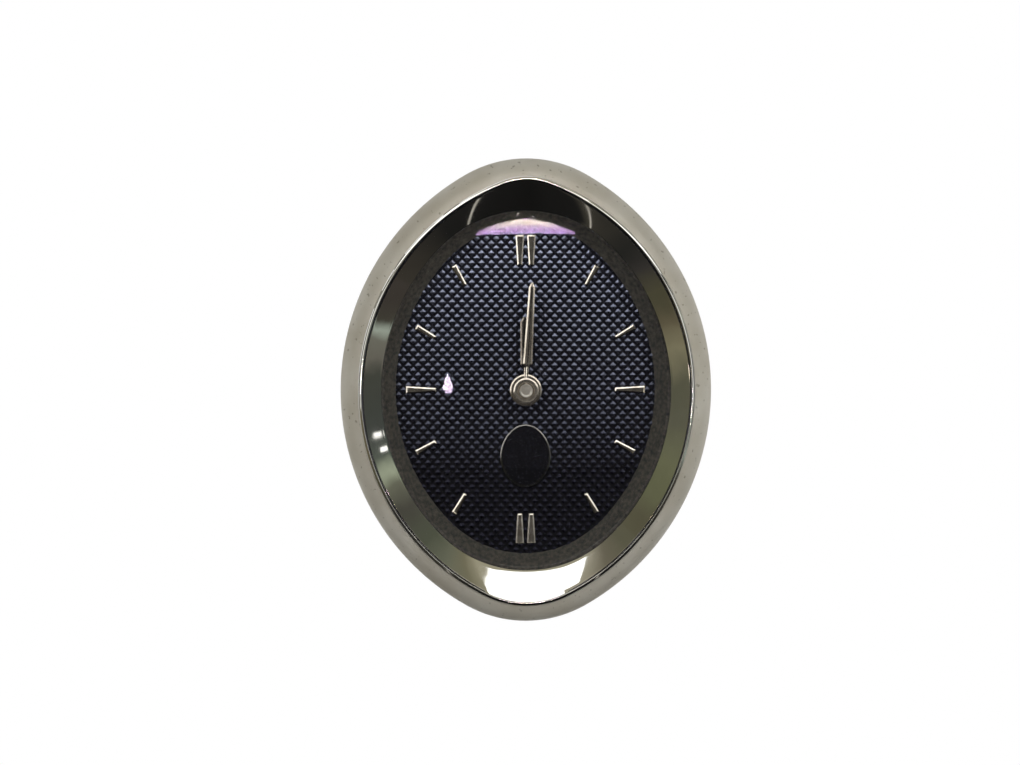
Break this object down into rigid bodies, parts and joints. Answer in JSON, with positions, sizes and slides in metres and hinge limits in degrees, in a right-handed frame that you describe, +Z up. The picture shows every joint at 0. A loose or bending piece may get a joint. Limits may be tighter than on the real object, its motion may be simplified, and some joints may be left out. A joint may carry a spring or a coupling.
{
  "type": "oval analogue dashboard clock",
  "caption": "Upright oval dashboard clock: satin trim ring, polished bowl, domed lens, dark hobnail dial with applied bars, faceted hands, stepping-motor movement behind.",
  "frame": {"origin": "where the axis of the hands crosses the plane of the dash panel that the trim ring and the screw bosses sit on", "axes": "+Z up and +X to the right as the driver sees the dial; +Y rearwards into the dash, along the mounting screws"},
  "size_m": [0.08, 0.0376, 0.1],
  "materials": {
    "satin_nickel": "satin nickel plate",
    "bright_chrome": "mirror polished",
    "coated_glass": "clear with a violet coating",
    "seal_rubber": "matt",
    "mask_plastic": "fine matt",
    "dial_paint": "dark blue, pyramid pattern",
    "medallion_enamel": "dark blue, smooth",
    "bar_chrome": "polished facets",
    "clear_plastic": "clear",
    "housing_plastic": "moulded",
    "cover_plastic": "moulded",
    "frame_plastic": "moulded",
    "gear_plastic": "natural moulded",
    "gear_brass": "machined",
    "magnet": "sintered",
    "soft_iron": "stamped",
    "bobbin_plastic": "moulded",
    "copper_wire": "enamelled",
    "contact_tin": "tinned",
    "zinc_steel": "zinc plated",
    "board_laminate": "solder mask",
    "chip_resin": "moulded",
    "lamp_resin": "moulded",
    "can_metal": "drawn can"
  },
  "bodies": {
    "case": {"trim_ring": "satin_nickel", "bezel_bowl": "bright_chrome", "lens_gasket": "seal_rubber", "lens": "coated_glass", "mask_ring": "mask_plastic", "hour_markers": "bar_chrome", "dial": "dial_paint", "dial_medallion": "medallion_enamel", "light_guide": "clear_plastic", "front_housing": "housing_plastic", "movement_plate": "frame_plastic", "movement_bridge": "frame_plastic", "stator": "soft_iron", "coil_core": "soft_iron", "coil_bobbin": "bobbin_plastic", "coil_winding": "copper_wire", "coil_terminals": "contact_tin", "bridge_screws": "zinc_steel", "motor_screws": "zinc_steel", "circuit_board": "board_laminate", "lamps": "lamp_resin", "controller_chip": "chip_resin", "quartz_crystal": "can_metal", "capacitors": "can_metal", "pin_header": "housing_plastic", "contact_pins": "contact_tin", "rear_cover": "cover_plastic", "cover_screws": "zinc_steel", "case_screws": "zinc_steel"},
    "minute_arbor": {"centre_wheel": "gear_brass", "cannon_pinion": "gear_brass", "minute_hand": "bar_chrome", "hub_button": "bar_chrome"},
    "hour_tube": {"hour_wheel": "gear_plastic", "hour_hand": "bar_chrome"},
    "motion_work": {"motion_wheel": "gear_plastic"},
    "third_staff": {"third_wheel": "gear_plastic"},
    "rotor": {"rotor_pinion": "gear_plastic", "rotor_magnet": "magnet"}
  },
  "joints": [
    {"name": "minute_hand_turn", "type": "hinge", "parent": "case", "child": "minute_arbor", "pos_m": [0, 0, 0], "axis": [0, 1, 0], "continuous": true},
    {"name": "hour_hand_turn", "type": "hinge", "parent": "case", "child": "hour_tube", "pos_m": [0, 0, 0], "axis": [0, 1, 0], "continuous": true},
    {"name": "motion_wheel_turn", "type": "hinge", "parent": "case", "child": "motion_work", "pos_m": [0.00424, 0.0068, 0.00424], "axis": [0, 1, 0], "continuous": true},
    {"name": "third_wheel_turn", "type": "hinge", "parent": "case", "child": "third_staff", "pos_m": [-0.004, 0.0068, -0.01003], "axis": [0, 1, 0], "continuous": true},
    {"name": "rotor_turn", "type": "hinge", "parent": "case", "child": "rotor", "pos_m": [0, 0.0068, -0.01941], "axis": [0, 1, 0], "continuous": true}
  ],
  "couplings": [
    {"joint": "hour_hand_turn", "follows": "minute_hand_turn", "ratio": 0.083333},
    {"joint": "motion_wheel_turn", "follows": "minute_hand_turn", "ratio": -0.33333},
    {"joint": "third_wheel_turn", "follows": "minute_hand_turn", "ratio": -8},
    {"joint": "rotor_turn", "follows": "minute_hand_turn", "ratio": 60}
  ]
}
